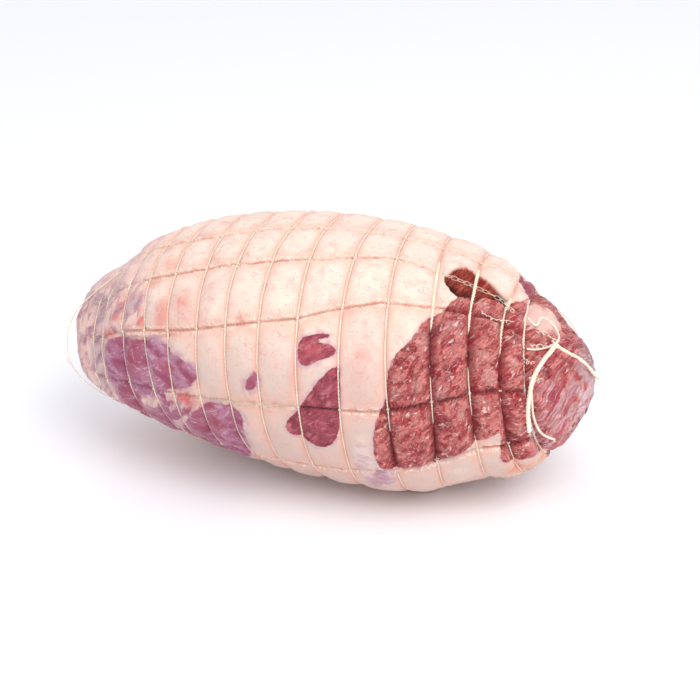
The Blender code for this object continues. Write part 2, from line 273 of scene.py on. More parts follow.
def fractal(points, seed, octaves):
    points = (points + seed * 17.3).reshape(-1, 3)
    values = [noise.fractal(Vector(p), 1.0, 2.1, octaves) for p in points.tolist()]
    return np.array(values).reshape(mm.shape)


def rough(size, seed, octaves=3):
    """Noise over the surface, about -1 to 1, with features of a size in mm."""
    return fractal(base * 1000 / size, seed, octaves)


def grained(turn, along, across, seed, octaves=3):
    """Noise over the surface with features longer in one direction, turned in degrees."""
    c, s = np.cos(np.radians(turn)), np.sin(np.radians(turn))
    u = flat[..., 0] * c + flat[..., 1] * s
    v = flat[..., 1] * c - flat[..., 0] * s
    return fractal(np.stack([u / along, v / across, 0 * u], axis=-1), seed, octaves)


# Outlines on the surface, as x in mm and degrees round the roll.
LEAN = (
    (62, 33), (59, 39), (55, 42), (52, 46), (49, 53), (45, 58), (42, 63), (41, 68), (41, 79),
    (39, 84), (37, 90), (36, 98), (36, 105), (38, 114), (40, 116), (47, 114), (55, 114), (63, 113),
    (69, 111), (74, 107), (78, 102), (83, 98), (87, 93), (88, 102), (87, 110), (88, 115), (93, 116),
    (97, 115), (102, 118), (106, 129), (104, 150), (99, 180), (95, 210), (91, 250), (89, 290),
    (91, 330), (92, 343), (90, 356), (88, 368), (85, 374), (81, 380), (77, 382), (73, 383),
    (68, 387), (64, 390), (62, 393),
)
LEAN_CLOSING = ((130, 393), (130, 33))
HOLE = (
    (56, 18), (58, 15), (59, 12), (62, 8), (65, 7), (68, 8), (72, 9), (76, 11), (80, 14), (84, 14),
    (84, 19), (80, 24), (76, 25), (73, 26), (68, 27), (66, 30), (61, 28), (60, 26), (58, 24),
)
HOLE_LIP = (
    (86, 17), (84, 19), (80, 24), (76, 25), (73, 26), (68, 27), (66, 30), (61, 28), (60, 26), (58, 24),
)
FLAP = (
    (69, 5), (71, -6), (74, -16), (79, -20), (82, -26), (87, -13), (87, 8), (83, 14), (80, 11), (76, 7),
)
# Windows in the fat: one notched, one large, and one beside the flap.
WINDOWS = (
    ((2, 66), (2, 62), (4, 60), (9, 58), (15, 57), (15.5, 58.5), (12, 59.8), (9, 60.8), (8, 61.6),
     (12, 60.8), (16, 61), (19, 62.5), (18, 65), (12, 68), (7, 71), (4, 71), (2, 69)),
    ((20, 68), (13, 74), (9, 81), (5, 87), (2, 92), (-2, 96), (-3, 101), (0, 103), (4, 103),
     (8, 106), (12, 107), (17, 105), (21, 100), (22, 83), (21, 71)),
    ((83, -28), (87, -30), (92, -26), (97, -16), (97, -6), (92, -2), (88, -8), (84, -16)),
)
MUSCLES = (
    ((-21, 86), (-20, 81), (-18, 78), (-16, 76), (-15, 80), (-16, 84), (-18, 86)),
    ((-95, 78), (-94, 73), (-85, 72), (-73, 73), (-67, 70), (-60, 72), (-57, 76), (-52, 77),
     (-46, 80), (-44, 84), (-45, 88), (-50, 93), (-54, 95), (-58, 96), (-63, 99), (-69, 99),
     (-74, 102), (-82, 109), (-89, 115), (-93, 110), (-95, 100), (-96, 90)),
    ((-93, 112), (-82, 104), (-75, 98), (-66, 96), (-61, 102), (-60, 114), (-59, 138), (-73, 142),
     (-82, 140), (-90, 128)),
    ((-56, 119), (-48, 106), (-42, 99), (-39, 96), (-33, 96), (-26, 96), (-23, 99), (-22, 103),
     (-23, 108), (-22, 114), (-25, 132), (-35, 142), (-44, 142), (-54, 140), (-58, 126)),
    ((-87, 50), (-83, 51), (-80, 63), (-83, 67), (-85, 63)),
    ((34, 120), (37, 117), (40, 116.5), (42, 118), (40, 124), (37, 129), (33, 131), (32, 126)),
    ((-50, 101), (-46, 103), (-54, 111), (-58, 118), (-62, 116), (-59, 109), (-54, 103)),
    ((-58, 102), (-55, 102), (-60, 108), (-64, 112), (-66, 110), (-62, 105)),
)
MARBLED_END = (
    (-80, -60), (-78, 7), (-77, 28), (-77, 43), (-71, 52), (-73, 62), (-86, 70), (-94, 75),
    (-96, 90), (-95, 100), (-93, 112), (-89, 122), (-88, 140), (-92, 180), (-94, 240), (-86, 300),
)
MARBLED_CLOSING = ((-130, 300), (-130, -60))
MARBLED = (
    ((-76, 109), (-69, 104), (-65, 104), (-64, 109), (-68, 114), (-75, 116)),
    ((-56, 96), (-50, 93), (-43, 92), (-41, 98), (-47, 102), (-55, 108), (-60, 104)),
    ((90, 2), (91, -4), (94, -10), (98, -16), (103, -14), (105, -4), (103, 9), (98, 18), (93, 22)),
)
YELLOW_FAT = (
    (88, 124), (90, 118), (93, 117), (98, 120), (104, 126), (108, 130), (110, 140), (103, 150),
    (97, 150), (93, 138),
)
# A pale band along the lower edge of the lean: a painted highlight, coloured like silver skin.
SILVER_HIGHLIGHT_BAND = (
    (59, 112), (64, 111), (69, 109), (74, 105), (78, 101), (80, 104), (76, 109), (70, 113), (63, 116),
)
SILVER = (
    (29, 100), (34, 101), (36, 108), (38, 113), (44, 115), (44, 124), (39, 131), (33, 132),
    (29, 124), (26, 115), (26, 107),
)
# Narrow clefts in the lean, and one between two shank muscles.
CLEFTS = (
    ((42, 67), (51, 64), (59, 63), (66, 60), (73, 55)),
    ((80, 42), (84, 52), (86, 62)),
    ((49, 62), (53, 70), (52, 78)),
    ((97, 66), (100, 78), (103, 92)),
    ((-88, 71), (-80, 72), (-73, 72), (-63, 69), (-55, 66)),
)
# Oval patches: x in mm, degrees, half length, half width, strength. Stains are blood-tinged
# places on the fat, tones are paler and darker places of the lean, and swells stand out.
STAINS = (
    (-64, 58, 6, 11, 1.0), (-53, 55, 8, 12, 0.55), (-44, 60, 6, 8, 0.3), (-25, 57, 4, 5, 0.75),
    (-57, 66, 9, 5, 0.4), (-75, 63, 3.5, 6, 1.2), (-89, 60, 5, 4, 1.2), (-65, 57, 4, 6, 1.1),
    (-93, 70, 6, 7, 1.0), (-55, 51, 10, 10, 0.7), (-41, 46, 7, 9, 0.25), (30, 53, 5, 7, 0.35),
    (-50, 99, 9, 6, 1.3), (-86, 50, 7, 12, 0.5), (20, 47, 9, 5, 0.35), (-70, 20, 9, 14, 0.35),
    (1, 76, 5, 12, 0.3), (44, 50, 5, 6, 0.4), (29, 66, 12, 22, 0.3), (94, 126, 9, 9, 0.6),
    (-60, 84, 8, 6, 0.35), (-66, 30, 9, 9, 0.45), (-57, 10, 10, 10, 0.3), (-72, 42, 6, 6, 0.6),
    (-45, 30, 8, 9, 0.2),
)
TONES = (
    (9, 64, 9, 6, 0.9), (17, 88, 5, 8, 0.4), (55, 53, 5, 5, 0.8), (65, 46, 5, 4, 0.7),
    (78, 54, 4, 5, 0.8), (81, 62, 4, 6, 0.9), (89, 51, 3, 7, 0.9), (71, 84, 4, 6, 0.6),
    (53, 72, 4, 5, 0.6), (63, 76, 4, 5, 0.4), (82, 80, 4, 6, 0.4), (45, 100, 5, 8, 0.3),
    (59, 48, 3, 4, -0.9), (65, 63, 4, 3, -0.8), (48, 57, 5, 3, -0.9), (46, 63, 4, 3, -0.8),
    (82, 69, 4, 3, -0.8), (65, 90, 4, 7, -0.9), (88, 37, 4, 5, -0.9), (103, 47, 4, 8, -0.6),
    (75, 72, 4, 4, -0.6), (42, 85, 3, 6, -0.7), (57, 100, 4, 8, -0.5), (93, 100, 5, 9, -0.9),
    (76, 30, 7, 3, 0.4), (94, 66, 4, 8, -0.4), (45, 76, 4, 6, 0.4),
)
SWELLS = (
    (79, -6, 12, 17, 2.2), (89, -24, 7, 13, 2.2), (64, 42, 20, 14, 1.2), (100, 62, 13, 24, 1.6),
    (98, 122, 12, 18, 1.8), (85, 3, 5, 10, 1.6), (80, 60, 8, 12, 0.8), (65, 52, 8, 8, 0.6),
    (-80, 90, 18, 20, 1.2), (-40, 112, 18, 14, 1.4), (12, 84, 12, 17, -0.8),
)

lean = inside(LEAN, LEAN_CLOSING)
hole = inside(HOLE)
flap = inside(FLAP)
yellow = inside(YELLOW_FAT)
lip = from_line(HOLE_LIP)
window = np.max([inside(outline) for outline in WINDOWS], axis=0)
muscle = np.max([inside(outline) for outline in MUSCLES], axis=0)
marbled = np.max([inside(outline) for outline in MARBLED], axis=0)
marbled = np.maximum(inside(MARBLED_END, MARBLED_CLOSING), marbled)
silver_skin_and_highlight = np.maximum(inside(SILVER), inside(SILVER_HIGHLIGHT_BAND))
stain = np.max([strength * patch(*oval) for *oval, strength in STAINS], axis=0)
tone = sum(strength * patch(*oval) for *oval, strength in TONES)
is_lean = ramp(-1.0, 2.0, lean)
is_muscle = ramp(-1.0, 2.5, muscle)

# Height over the smooth surface, in mm: cushions between threads, creases under them, the
# fold at the top of the broad end, and the grain of the meat.
FAT_CUSHION, LEAN_CUSHION, MUSCLE_CUSHION = 1.3, 1.7, 0.2
FULL_CELL = 0.015
FOLD_DEPTH, LIP_RISE = 10.0, 6.5
CLEFT_DEPTH, CLEFT_WIDTH = 1.3, 0.9

inner = (cells > 0) & (cells < LAST_HOOP)
cell_size = hoop_x(np.minimum(cells + 1, LAST_HOOP + 1), angle) - hoop_x(cells, angle)
cell_size = np.where(inner, cell_size, FULL_CELL)
beyond = np.where(cells > 0, shares, 1 - shares)
room = np.where(
    inner,
    np.sin(np.pi * shares) * np.sin(np.pi * parts) * np.minimum(1, cell_size / FULL_CELL),
    0.8 * np.sin(np.pi * beyond / 2) * (beyond + (1 - beyond) * np.sin(np.pi * parts)),
)
cushion = FAT_CUSHION + LEAN_CUSHION * is_lean + MUSCLE_CUSHION * is_muscle
cushion += 0.5 * is_lean * rough(9, 9, 2)
for *oval, swell in SWELLS:
    cushion += swell * patch(*oval)
cushion += 2.0 * ramp(5.0, 2.5, base[..., 2] * 1000)
fade = np.where(inner, 1.0, (1 - beyond) ** 3)
hoop_crease = (0.7 + 1.6 * is_lean) * np.exp(-((hoop_gap / (0.8 + 1.5 * is_lean)) ** 2))
calm = ramp(-46, -34, mm) * ramp(3, -2, mm) * np.exp(-(((degrees - 94) / 13) ** 2))
wander = np.maximum(strand_gap + 0.45 * rough(2.2, 12, 2) * (1 - is_lean), 0)
strand_crease = np.exp(-((wander / (0.75 + 0.9 * is_lean)) ** 2))
strand_crease = fade * (1 - 0.75 * calm) * (1.0 + 0.8 * is_lean) * strand_crease
height = (cushion + 0.25) * room ** (0.7 - 0.2 * is_lean) - 0.25
height -= np.maximum(hoop_crease, strand_crease)

# Fat is softly uneven and ruffled where it meets in a crease. Cut lean is lumpy, with
# narrow clefts, and smooth under the threads.
height += (0.55 * rough(12, 1) + 0.25 * rough(5, 14, 2)) * (1 - is_lean)
ruffle = np.exp(-(((strand_gap - 1.3) / 1.4) ** 2)) * (1 - is_lean) * fade
height += (0.8 * rough(2.6, 2) + 0.6 * rough(1.3, 13, 2)) * ruffle
torn = grained(58, 7.5, 4.2, 3, 4)
free = 1 - 0.85 * np.exp(-((np.minimum(hoop_gap, strand_gap * 1.3) / 1.3) ** 2))
lumpy = 2.6 * np.minimum(np.abs(torn), 0.45) - 0.45 + 0.5 * rough(6, 8, 2)
height += is_lean * free * lumpy
end_grain = ramp(97, 104, mm) * ramp(40, 60, degrees) * ramp(140, 120, degrees)
height += 0.3 * end_grain * grained(66, 16, 1.9, 4, 2)
for cleft in CLEFTS:
    height -= CLEFT_DEPTH * np.exp(-((from_line(cleft) / CLEFT_WIDTH) ** 2))
height -= 0.6 * ramp(-0.3, 0.7, window) * (0.8 + 0.5 * torn)
height -= 0.2 * ramp(-0.5, 1.5, muscle)
height += 0.35 * grained(70, 7, 2.2, 6) * ramp(-2, 3, marbled)
height += 0.9 * rough(4.5, 15, 2) * ramp(-1, 2, yellow)

# The flap of fat stands over the fold, whose lower lip rises gently out of it.
height += 1.6 * ramp(-0.5, 4.0, flap) + 1.5 * patch(83, 11, 5, 7)
upper_edge = ramp(3.5, 6.0, lip)
height += 0.9 * upper_edge * np.exp(-(((hole + 1.8) / 1.7) ** 2))
open_fold = ramp(-0.2, 1.3, hole)
depth = FOLD_DEPTH - LIP_RISE * ramp(1.2, 8.0, lip) - 0.5 * torn
height = height * (1 - open_fold) - open_fold * depth

surface = base + height[..., None] / 1000 * normal
surface[..., 2] = np.maximum(surface[..., 2], 0.0)

rows, cols = mm.shape
index = np.arange(rows * cols).reshape(rows, cols)
beside = np.roll(index, -1, axis=1)
quads = np.stack([index[:-1], beside[:-1], beside[1:], index[1:]], axis=-1).reshape(-1, 4)
poles = smooth_surface(latitude(np.array([LEFT_END, RIGHT_END])), np.zeros(2))
left_fan = np.stack([np.full(cols, rows * cols), beside[0], index[0]], axis=-1)
right_fan = np.stack([np.full(cols, rows * cols + 1), index[-1], beside[-1]], axis=-1)
data = bpy.data.meshes.new("meat_surface")
data.from_pydata(
    np.concatenate([surface.reshape(-1, 3), poles]).tolist(), [],
    quads.tolist() + left_fan.tolist() + right_fan.tolist(),
)
data.shade_smooth()


def give(data, name, values, kind="FLOAT", key="value"):
    """Stores a value for every vertex, for the material or the geometry nodes to read."""
    stored = data.attributes.new(name, kind, "POINT").data
    stored.foreach_set(key, np.ravel(values).astype(np.float32))


def set_up(name, data):
    """Puts an object of this name and data in the scene."""
    made = bpy.data.objects.new(name, data)
    bpy.context.scene.collection.objects.link(made)
    return made


def with_poles(values):
    return np.concatenate([np.ravel(values), [values[0].mean(), values[-1].mean()]])


FAR = 9.0
for name, distance in {
    "lean": lean,
    "window": window,
    "muscle": muscle,
    "silver_skin_and_highlight": silver_skin_and_highlight,
    "yellow": yellow,
    "marbled": marbled,
    "hole": hole,
    "lip": lip,
    "hoop": hoop_gap,
    "strand": strand_gap + 2 * calm,
}.items():
    give(data, name, with_poles(np.clip(distance, -FAR, FAR)))
give(data, "stain", with_poles(stain))
give(data, "room", with_poles(np.where(inner, room, 1.0)))
give(data, "tone", with_poles(tone))
give(data, "end_grain", with_poles(end_grain))
give(data, "height", with_poles(height))
flat_poles = np.concatenate([flat.reshape(-1, 3), [flat[0, 0], flat[-1, 0]]])
give(data, "flat", flat_poles, "FLOAT_VECTOR", "vector")


def colour(text):
    """An sRGB hex colour as linear RGBA."""
    values = [int(text[i : i + 2], 16) / 255 for i in (1, 3, 5)]
    return (*(v / 12.92 if v <= 0.04045 else ((v + 0.055) / 1.055) ** 2.4 for v in values), 1.0)


def feed(tree, node, inputs):
    """Gives a node's inputs values, or sockets to link from."""
    for name, value in inputs.items():
        if isinstance(value, bpy.types.NodeSocket):
            tree.links.new(value, node.inputs[name])
        else:
            node.inputs[name].default_value = value


def add(tree, kind, inputs=None, **settings):
    """Adds a node with its settings and inputs."""
    made = tree.nodes.new(kind)
    for name, value in settings.items():
        setattr(made, name, value)
    feed(tree, made, inputs or {})
    return made


def output(tree, kind, inputs=None, **settings):
    """Adds a node and gives its first output."""
    return add(tree, kind, inputs, **settings).outputs[0]


def maths(tree, operation, one, two=0.0, three=0.0):
    return output(tree, "ShaderNodeMath", {0: one, 1: two, 2: three}, operation=operation)


def scaled(tree, vector, factor):
    return output(tree, "ShaderNodeVectorMath", {0: vector, "Scale": factor}, operation="SCALE")


def material(name):
    """A new material, its nodes and its shader."""
    made = bpy.data.materials.new(name)
    made.use_nodes = True
    return made, made.node_tree, made.node_tree.nodes["Principled BSDF"]


# Raw lamb: matt creamy fat and moist lean, both letting some light through.
raw, tree, shader = material("raw_lamb")


# The functions from here to tinted add nodes to the material in hand, in tree.
def mix(factor, one, two):
    """Mixes two colours, given as sockets or as hex text."""
    one, two = (colour(c) if isinstance(c, str) else c for c in (one, two))
    return add(tree, "ShaderNodeMix", {0: factor, 6: one, 7: two}, data_type="RGBA").outputs[2]


def ease(value, low, high, to_low=0.0, to_high=1.0):
    """Turns a range of a value into another range, smoothly."""
    return output(
        tree, "ShaderNodeMapRange",
        {"Value": value, "From Min": low, "From Max": high, "To Min": to_low, "To Max": to_high},
        interpolation_type="SMOOTHSTEP",
    )


def blotches(vector, size_mm, detail=3.0, roughness=0.55, distortion=0.0):
    """Noise with features of a size in mm, where the vector is in mm."""
    return output(tree, "ShaderNodeTexNoise", {
        "Vector": vector,
        "Scale": 1 / size_mm,
        "Detail": detail,
        "Roughness": roughness,
        "Distortion": distortion,
    })


def in_mm():
    """Coordinates in the object, in mm."""
    return scaled(tree, add(tree, "ShaderNodeTexCoord").outputs["Object"], 1000.0)


def attribute(name):
    return add(tree, "ShaderNodeAttribute", attribute_name=name, attribute_type="GEOMETRY").outputs


def read(name):
    return attribute(name)["Fac"]


def times(one, two):
    return maths(tree, "MULTIPLY", one, two)


def axis(vector, letter):
    return add(tree, "ShaderNodeSeparateXYZ", {0: vector}).outputs[letter]


def ridge(value):
    """Close to 0 along the winding lines where a noise passes its middle."""
    return maths(tree, "ABSOLUTE", maths(tree, "SUBTRACT", value, 0.5))


laid = attribute("flat")["Vector"]
where = in_mm()
ragged = maths(tree, "MULTIPLY_ADD", blotches(where, 2.6, detail=4), 4.0, -2.0)


def edge(name, low, high, rag=1.0):
    """0 to 1 across an outline whose distance in mm is stored, with a ragged edge."""
    return ease(maths(tree, "MULTIPLY_ADD", ragged, rag, read(name)), low, high)


def stretched(turn_degrees, longer):
    """Coordinates that make a texture longer in one direction on the surface."""
    return output(
        tree, "ShaderNodeMapping",
        {"Vector": laid, "Rotation": (0, 0, np.radians(turn_degrees)), "Scale": (longer, 1, 1)},
        vector_type="TEXTURE",
    )


def tinted(shade, *layers):
    """Lays tints over a colour: how much, which colour and how strong."""
    for amount, text, strength in layers:
        shade = mix(times(amount, strength), shade, text)
    return shade


broad = blotches(where, 22.0, detail=2)
patchy = blotches(where, 6.0, detail=4)
fine = blotches(where, 1.1, detail=3)
laid_x, laid_y = axis(laid, "X"), axis(laid, "Y")

# Fat: cream, pinker in blotches; painted shade darkens it low down, at cell edges and in creases.
# Painted shade: a pink shadow line in the groove along each hoop.
hoop_groove_shade = ease(read("hoop"), 1.7, 0.3)
# Painted shade: orange-brown darkening in the crease under each strand.
strand_crease_shade = ease(read("strand"), 1.0, 0.1)
strand_crease_shade = times(strand_crease_shade, ease(patchy, 0.3, 0.6, 0.35, 1))
# Painted shade: the fat turns darker peach towards each cell's edge by the threads, so cells look
# puffed.
edges = ease(maths(tree, "MULTIPLY_ADD", patchy, 0.5, read("room")), 0.85, 0.3)
vein = ridge(blotches(where, 9.0, detail=4, distortion=1.0))
# Painted highlight: pale flecks on the ruffled fat just beside each strand.
frill_highlight = ease(read("strand"), 3.0, 1.2)
frill_highlight = times(frill_highlight, ease(read("strand"), 0.3, 0.8))
fat = mix(ease(broad, 0.35, 0.65), "#ECD6CA", "#F0DCCD")
fat = tinted(
    fat,
    # Painted shade: darker and pinker towards the bottom, where less light falls.
    (ease(axis(where, "Z"), 106, 56), "#CDB3AA", 0.9),
    (ease(broad, 0.42, 0.3), "#E2CCBE", 0.6),
    (ease(patchy, 0.5, 0.68), "#E6B4A8", 0.5),
    (edges, "#E3AE9A", 0.5),
    (ease(fine, 0.45, 0.7), "#DDBBA6", 0.3),
    (ease(vein, 0.014, 0.0), "#D8958A", 0.5),
    (times(frill_highlight, ease(fine, 0.45, 0.62)), "#FFF4E6", 0.5),
    (hoop_groove_shade, "#DB9388", 0.35),
    (strand_crease_shade, "#C0705A", 0.65),
)

# Lean: lumps of every tone from pale pink to dark red, with pale fibres, and with painted
# highlights on raised shreds and painted shade in its clefts, creases and low places.
turned = stretched(58, 1.9)
wobble = add(
    tree, "ShaderNodeTexNoise",
    {"Vector": laid, "Scale": 1 / 3.0, "Detail": 3.0, "Roughness": 0.55},
)
wobble = scaled(tree, wobble.outputs["Color"], 3.4)
wobble = output(tree, "ShaderNodeVectorMath", {0: turned, 1: wobble}, operation="ADD")
lump = add(tree, "ShaderNodeTexVoronoi", {"Vector": wobble, "Scale": 1 / 2.1}, feature="F1")
torn = blotches(turned, 1.9, detail=5, roughness=0.62, distortion=1.1)
cleft = ridge(torn)
fibre = blotches(stretched(40, 3.4), 0.9, detail=4, roughness=0.6, distortion=1.4)
fibre = ridge(fibre)
glint_and_shade = blotches(stretched(52, 2.4), 0.75, detail=3, roughness=0.6, distortion=0.6)
stripe = blotches(stretched(66, 16.0), 1.0, detail=3, distortion=0.5)
tone = maths(tree, "MULTIPLY_ADD", patchy, 1.4, maths(tree, "ADD", read("tone"), -0.7))
# Painted shade: dark red in the creases beside hoops and strands, where the lean bulges.
crease_shade = ease(read("hoop"), 2.8, 0.4)
crease_shade = maths(tree, "MAXIMUM", crease_shade, ease(read("strand"), 2.0, 0.3))
lump_tone = axis(lump.outputs["Color"], "X")
red = mix(ease(lump_tone, 0.1, 0.9), "#C43A44", "#FF958E")
red = tinted(
    red,
    (ease(tone, 0.02, 0.6), "#FFB0A8", 0.8),
    (ease(tone, -0.02, -0.55), "#A01C2C", 0.85),
    # Painted highlight on the raised shreds of the relief, and painted shade in the hollows.
    (ease(torn, 0.54, 0.66), "#FFCFC6", 0.85),
    (ease(torn, 0.46, 0.34), "#9C1C2B", 0.8),
    # Painted glints, and fine painted shade in small clefts.
    (ease(glint_and_shade, 0.57, 0.7), "#FFE3DC", 0.6),
    (ease(glint_and_shade, 0.42, 0.32), "#851322", 0.75),
    # Painted shade along the clefts of the relief.
    (ease(cleft, 0.014, 0.0), "#701220", 0.5),
    (ease(fibre, 0.014, 0.002), "#FFDCD2", 0.6),
    # Painted shade where the mesh lies low, in its creases.
    (ease(read("height"), -0.9, -2.6), "#861B27", 0.75),
    (times(crease_shade, ease(patchy, 0.3, 0.6, 0.4, 1.0)), "#9A2432", 0.6),
)
striped = mix(ease(stripe, 0.4, 0.6), "#CC5565", "#F8C0C2")
red = mix(times(read("end_grain"), ease(patchy, 0.36, 0.5)), red, striped)

# The windows are smooth muscle seen under the fat, darker than the cut lean, with painted
# highlights and painted shade on their relief and a painted dark crease under each strand.
streak = blotches(stretched(40, 2.6), 2.6, detail=3, distortion=0.5)
smooth_red = mix(ease(patchy, 0.35, 0.65), "#832639", "#AA4756")
smooth_red = tinted(
    smooth_red,
    # Painted highlight on the raised parts of the relief, and painted shade in its hollows.
    (ease(torn, 0.56, 0.68), "#C98086", 0.6),
    (ease(torn, 0.44, 0.32), "#6B1C2C", 0.7),
    (ease(streak, 0.56, 0.66), "#C67A82", 0.6),
    (ease(streak, 0.44, 0.34), "#6B1B2E", 0.6),
    (ease(read("tone"), 0.1, 0.8), "#D2646A", 0.45),
    # Painted shade: a near-black crease where a strand sinks into a window.
    (ease(read("strand"), 0.9, 0.2), "#4A1220", 0.7),
    (ease(fibre, 0.012, 0.002), "#D9A0A0", 0.5),
)

# Shank muscle: dark mauve and dark red under a thin skin, with a web of white fascia.
streak = blotches(stretched(-28, 2.0), 5.5, detail=2.5, distortion=0.6)
web = ridge(blotches(stretched(40, 1.6), 6.5, detail=3, distortion=1.2))
web = times(ease(web, 0.022, 0.004), ease(streak, 0.42, 0.56))
purple = mix(ease(streak, 0.34, 0.62), "#91425D", "#A86A84")
purple = tinted(
    purple,
    (ease(patchy, 0.48, 0.66), "#B88CA0", 0.65),
    (ease(broad, 0.5, 0.38), "#9A4254", 0.6),
    (web, "#DCC0CB", 0.45),
)

# The end of the shank: pink fat with mauve skin and muscle showing through in streaks.
mottle = blotches(stretched(74, 3.0), 3.4, detail=5, roughness=0.6, distortion=0.3)
mixed = mix(ease(mottle, 0.4, 0.58), "#B0838E", "#E0BEB3")
mixed = tinted(
    mixed,
    (ease(patchy, 0.5, 0.64), "#DB9A8E", 0.6),
    (ease(broad, 0.54, 0.66), "#9F8592", 0.55),
    (ease(mottle, 0.41, 0.33), "#94566A", 0.6),
    (ease(fibre, 0.02, 0.004), "#F0DCD4", 0.5),
    (ease(laid_y, 30, 52), "#EBC9BE", 0.6),
)

# Fat thins to a mauve skin before it gives way to a window, to muscle or to lean.
yellow_fat = times(edge("yellow", -1.0, 2.0, 1.2), ease(patchy, 0.4, 0.6))
by_window = times(edge("window", -2.2, -0.2, 0.9), ease(patchy, 0.35, 0.6))
by_muscle = times(edge("muscle", -3.5, -0.4, 1.4), ease(patchy, 0.35, 0.6))
by_lean = times(edge("lean", -1.5, -0.3, 0.6), ease(patchy, 0.42, 0.56))
whole = tinted(
    fat,
    (yellow_fat, "#E8A07C", 0.6),
    (by_window, "#BF95A6", 0.6),
    (by_muscle, "#B48E9E", 0.7),
    (times(by_lean, ease(laid_x, 62, 52)), "#C9B0BC", 0.5),
)
whole = mix(edge("window", -0.15, 0.35, 0.4), whole, smooth_red)
whole = mix(edge("muscle", -0.4, 0.7, 0.8), whole, purple)
# Silver skin on its patch, and a painted highlight on the band along the lean's lower edge.
skin_and_highlight = mix(ease(patchy, 0.45, 0.62), "#DCC3C0", "#BC9AA4")
skin_and_highlight_mask = times(edge("silver_skin_and_highlight", -1.5, 2.0, 1.2), ease(fine, 0.3, 0.6, 0.4, 0.75))
whole = mix(skin_and_highlight_mask, whole, skin_and_highlight)
whole = mix(edge("lean", -0.2, 0.35, 0.6), whole, red)
is_marbled = edge("marbled", -1.5, 2.5, 2.0)
whole = mix(is_marbled, whole, mixed)
by_fold = times(is_marbled, ease(laid_x, 70, 80))
by_fold = times(by_fold, ease(mottle, 0.4, 0.56, 0.25, 1.0))
spread = maths(tree, "MULTIPLY_ADD", patchy, 0.9, -0.45)
spread = ease(spread, -0.35, 0.35, 0.3, 1.0)
whole = tinted(
    whole,
    (by_fold, "#EBBDB0", 0.75),
    (times(read("stain"), spread), "#D0584C", 0.9),
)

# The open fold is red at its lip, and painted shade darkens it to almost black where it is
# deep. A pale rim of fascia closes the tip of the broad end.
inside_hole = ease(read("hole"), -0.1, 0.5)
# Painted shade, deepening with distance from the fold's lip.
fold_depth_shade = ease(maths(tree, "MULTIPLY_ADD", patchy, 3.0, read("lip")), 10.5, 5.0)
deep = mix(ease(torn, 0.4, 0.62), "#A43029", "#DA705F")
whole = mix(inside_hole, whole, mix(fold_depth_shade, deep, "#3C080A"))
rim = times(ease(laid_x, 109, 117), ease(patchy, 0.35, 0.6))
whole = tinted(whole, (rim, "#EBCDD3", 0.8))

# Lean is moister and more uneven than fat.
is_red = times(edge("lean", -0.2, 0.35, 0.4), edge("marbled", 2.5, -1.5, 2.0))
is_red = maths(tree, "MAXIMUM", is_red, inside_hole)
some_red = times(edge("window", -0.15, 0.35, 0.3), 0.45)
some_red = maths(tree, "MAXIMUM", is_red, some_red)
relief = maths(tree, "MULTIPLY_ADD", ease(cleft, 0.0, 0.12), 0.35, torn)
relief = maths(tree, "MULTIPLY_ADD", lump.outputs["Distance"], -0.35, relief)
lumps = output(
    tree, "ShaderNodeBump", {"Height": relief, "Strength": some_red, "Distance": 0.0023},
)
grains = output(
    tree, "ShaderNodeBump",
    {"Height": fine, "Strength": 0.35, "Distance": 0.0004, "Normal": lumps},
)
wetness = ease(some_red, 0.0, 1.0, 0.5, 0.34)
feed(tree, shader, {
    "Base Color": whole,
    "Roughness": wetness,
    "Normal": grains,
    "Subsurface Weight": 0.2,
    "Subsurface Radius": (1.0, 0.45, 0.3),
    "Subsurface Scale": 0.0015,
    "IOR": 1.4,
})

data.materials.append(raw)
meat = set_up("meat_visual", data)
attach(meat, "root")
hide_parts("meat")


# The net's hoops: fifteen rounds of two-ply cotton yarn, about 1 mm thick, that squeeze
# the roll. They bed into the fat and sink deeper into the lean.

# Heights in mm, smoothing in vertices and thicknesses in metres. The rounds are thicker
# where they cross the top of the lean.
HOOP_BED, HOOP_SMOOTHING, HIDDEN_SINK = 0.33, 9, 1.1
HOOP_THICKNESS, THICKER_IN_LEAN, THICKER_LAST = 0.00072, 0.00068, 0.0002


def evened(values, width, closed):
    """A running average along a thread."""
    mode = "wrap" if closed else "edge"
    padded = np.pad(values, width, mode=mode)
    kernel = np.hanning(2 * width + 1)
    return np.convolve(padded, kernel / kernel.sum(), mode="valid")


def path_mesh(name, routes):
    """Edges along routes of (points, normals, thickness in m, closed)."""
    data = bpy.data.meshes.new(name)
    points, normals, thick, edges, start = [], [], [], [], 0
    for route, normal, size, closed in routes:
        count = len(route)
        points += route.tolist()
        normals.append(normal)
        thick.append(np.broadcast_to(size, count))
        edges += [(start + i, start + i + 1) for i in range(count - 1)]
        edges += [(start + count - 1, start)] if closed else []
        start += count
    data.from_pydata(points, edges, [])
    give(data, "outward", np.concatenate(normals), "FLOAT_VECTOR", "vector")
    give(data, "thickness", np.concatenate(thick))
    return set_up(name, data)


def node_group(name, output, inputs):
    """A geometry node tree with its inputs as (name, kind, value), and its input sockets."""
    tree = bpy.data.node_groups.new(name, "GeometryNodeTree")
    for title, kind, value in inputs:
        made = tree.interface.new_socket(title, in_out="INPUT", socket_type="NodeSocket" + kind)
        if value is not None:
            made.default_value = value
    tree.interface.new_socket(output, in_out="OUTPUT", socket_type="NodeSocketGeometry")
    return tree, add(tree, "NodeGroupInput").outputs


